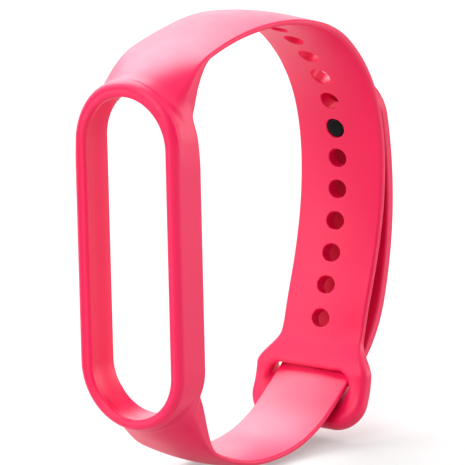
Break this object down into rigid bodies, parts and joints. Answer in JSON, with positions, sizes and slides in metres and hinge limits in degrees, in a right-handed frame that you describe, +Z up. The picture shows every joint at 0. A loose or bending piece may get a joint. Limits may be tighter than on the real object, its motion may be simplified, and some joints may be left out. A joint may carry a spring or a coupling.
{
  "type": "fitness tracker band",
  "caption": "Soft wristband for a fitness tracker: an empty holder ring, a strap with holes and a keeper loop, and a tail closed by a stud.",
  "frame": {"origin": "centre of the bottom of the bounding box", "axes": "+X from the holder's front towards the back of the ring, +Y across the strap, +Z up"},
  "size_m": [0.0584, 0.0206, 0.0689],
  "materials": {
    "silicone": "satin moulded silicone",
    "stud_plastic": "polished black"
  },
  "bodies": {
    "ring": {"holder_frame": "silicone", "upper_root": "silicone", "upper_strap": "silicone", "hole_strap": "silicone", "keeper_loop": "silicone", "lower_root": "silicone", "lower_strap": "silicone", "loop_passage": "silicone"},
    "tail_a": {"tail_link_1": "silicone"},
    "tail_b": {"tail_link_2": "silicone"},
    "tail_c": {"tail_link_3": "silicone"},
    "tail_d": {"tail_tip": "silicone"},
    "stud": {"stud_post": "stud_plastic", "stud_cap": "stud_plastic"}
  },
  "joints": [
    {"name": "tail_peel", "type": "hinge", "parent": "ring", "child": "tail_a", "pos_m": [0.02396, 0, 0.01431], "axis": [0, 1, 0], "range_deg": [0, 25], "stiffness_Nm_per_rad": 0.0035},
    {"name": "tail_curl_2", "type": "hinge", "parent": "tail_a", "child": "tail_b", "pos_m": [0.02737, 0, 0.02281], "axis": [0, 1, 0], "range_deg": [0, 25], "stiffness_Nm_per_rad": 0.0035},
    {"name": "tail_curl_3", "type": "hinge", "parent": "tail_b", "child": "tail_c", "pos_m": [0.029, 0, 0.03185], "axis": [0, 1, 0], "range_deg": [0, 25], "stiffness_Nm_per_rad": 0.0035},
    {"name": "tail_curl_4", "type": "hinge", "parent": "tail_c", "child": "tail_d", "pos_m": [0.0291, 0, 0.04104], "axis": [0, 1, 0], "range_deg": [0, 25], "stiffness_Nm_per_rad": 0.0035},
    {"name": "stud_spin", "type": "hinge", "parent": "tail_d", "child": "stud", "pos_m": [0.02586, 0, 0.04699], "axis": [-0.9829, 0, -0.184], "continuous": true}
  ],
  "couplings": [
    {"joint": "tail_curl_2", "follows": "tail_peel", "ratio": 1},
    {"joint": "tail_curl_3", "follows": "tail_peel", "ratio": 1},
    {"joint": "tail_curl_4", "follows": "tail_peel", "ratio": 1}
  ]
}
